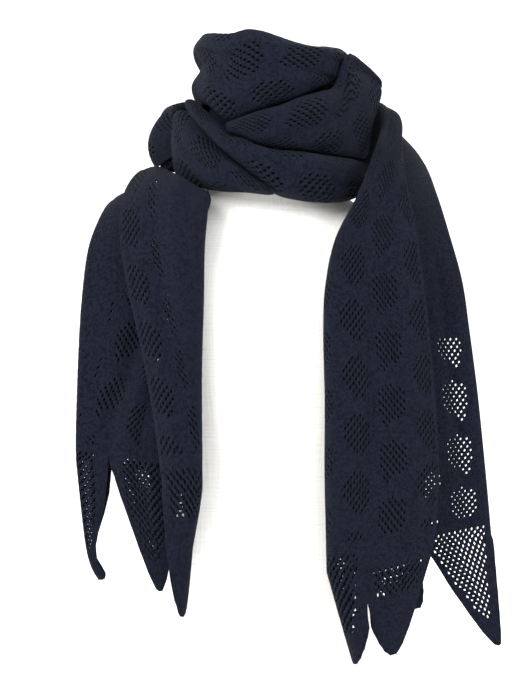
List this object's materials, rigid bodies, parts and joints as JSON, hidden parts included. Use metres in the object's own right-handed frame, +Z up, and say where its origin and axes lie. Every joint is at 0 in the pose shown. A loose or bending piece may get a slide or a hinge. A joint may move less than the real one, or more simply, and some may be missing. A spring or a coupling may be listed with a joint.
{
  "type": "winter scarf on a dress form",
  "caption": "Long dark lace-knit scarf wound once round the neck of a limbless linen dress form, its two folded tails hanging in front with long pointed ends.",
  "frame": {"origin": "centre of the dress form's flat base", "axes": "+Z up, +X towards the viewer's right of the front view, -Y towards the front, where the tails hang"},
  "size_m": [0.4279, 0.2577, 0.7008],
  "materials": {
    "linen": "ivory plain-weave linen",
    "wool": "near-black navy lace knit, soft and matt"
  },
  "bodies": {
    "root": {"dress_form": "linen", "wrap_top": "wool", "wrap_middle": "wool", "wrap_third": "wool", "wrap_fourth": "wool", "back_under": "wool", "back_over": "wool", "tail_left": "wool", "tail_right": "wool"}
  },
  "joints": []
}
